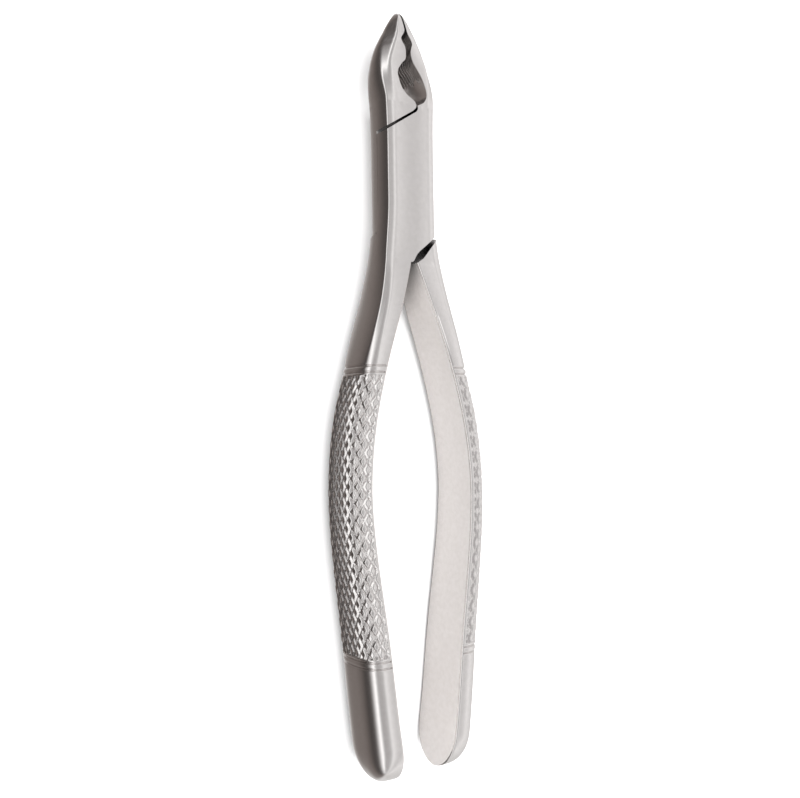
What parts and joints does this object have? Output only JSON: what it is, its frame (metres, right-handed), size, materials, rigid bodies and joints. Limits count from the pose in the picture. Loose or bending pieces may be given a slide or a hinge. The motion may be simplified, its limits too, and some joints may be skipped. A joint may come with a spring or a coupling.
{
  "type": "extraction forceps",
  "caption": "Straight-beaked tooth extraction forceps: crossed lap-jointed halves with knurled D-section handles, turning on a flush pivot screw.",
  "frame": {"origin": "on the pivot axis, in the flat back face of the joint", "axes": "+Y along the instrument towards the beak tips, +Z out of the front of the joint along the pivot axis, +X to the right seen from the front"},
  "size_m": [0.038, 0.1751, 0.0148],
  "materials": {
    "steel": "satin"
  },
  "bodies": {
    "back_half": {"back_half": "steel"},
    "front_half": {"front_half": "steel", "pivot_screw": "steel"}
  },
  "joints": [
    {"name": "pivot", "type": "hinge", "parent": "back_half", "child": "front_half", "pos_m": [0, 0, 0.0041], "axis": [0, 0, -1], "range_deg": [-0.35, 35]}
  ]
}
